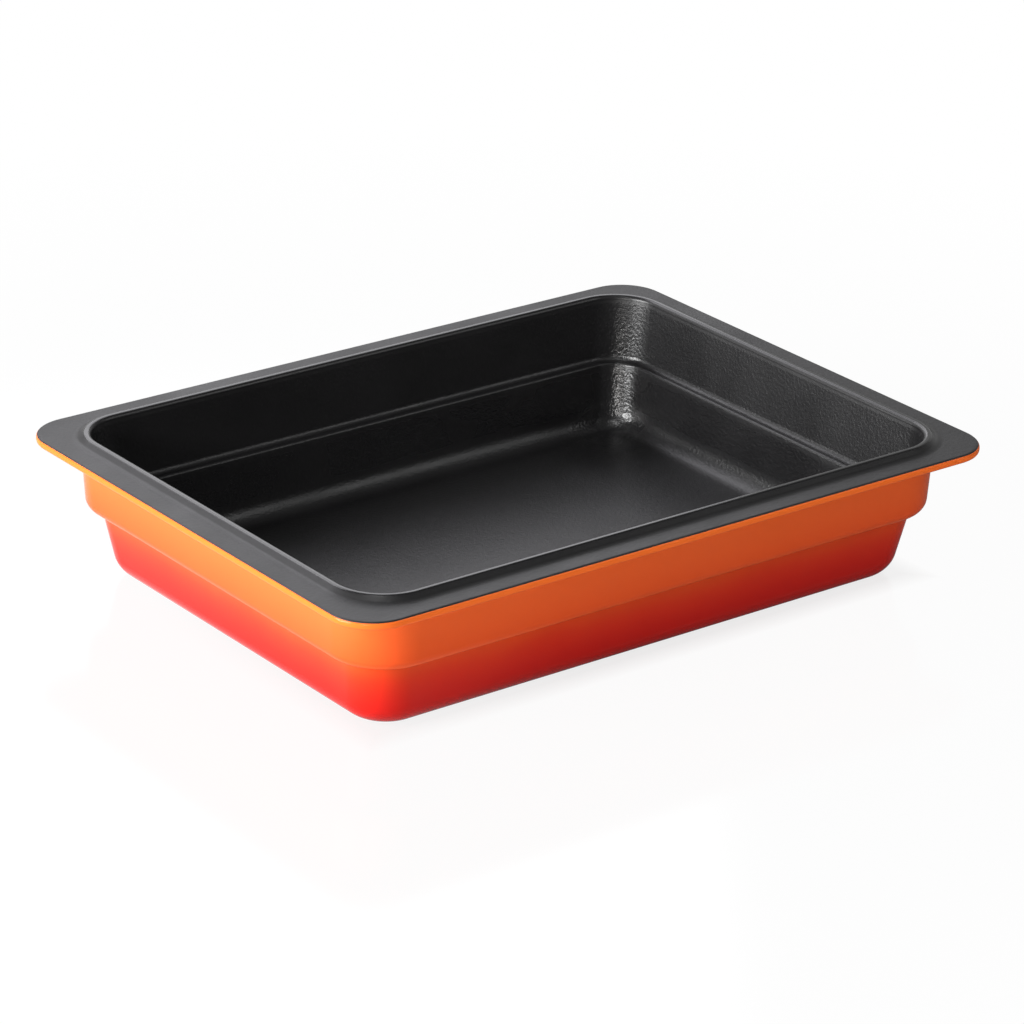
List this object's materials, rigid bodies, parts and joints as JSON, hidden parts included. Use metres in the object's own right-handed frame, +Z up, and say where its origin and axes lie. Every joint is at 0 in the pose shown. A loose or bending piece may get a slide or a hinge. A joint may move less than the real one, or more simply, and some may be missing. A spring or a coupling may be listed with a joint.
{
  "type": "hotel pan",
  "caption": "Shallow rectangular cast-iron pan with a flat flange, raised lip and stepped wall, enamelled satin black inside and orange to red outside, for oven or serving well.",
  "frame": {"origin": "middle of the base, on the surface that the pan stands on", "axes": "+X along the long side, +Y along the short side, +Z up out of the mouth"},
  "size_m": [0.325, 0.2456, 0.0634],
  "materials": {
    "grey_iron": "as cast, under the enamel",
    "black_enamel": "satin, fine pebbled",
    "orange_enamel": "gloss",
    "red_enamel": "gloss, orange-red under the shoulder to deep red below",
    "base_enamel": "matt"
  },
  "bodies": {
    "root": {"iron_casting": "grey_iron", "interior_enamel": "black_enamel", "orange_enamel": "orange_enamel", "red_enamel": "red_enamel", "base_enamel": "base_enamel"}
  },
  "joints": []
}
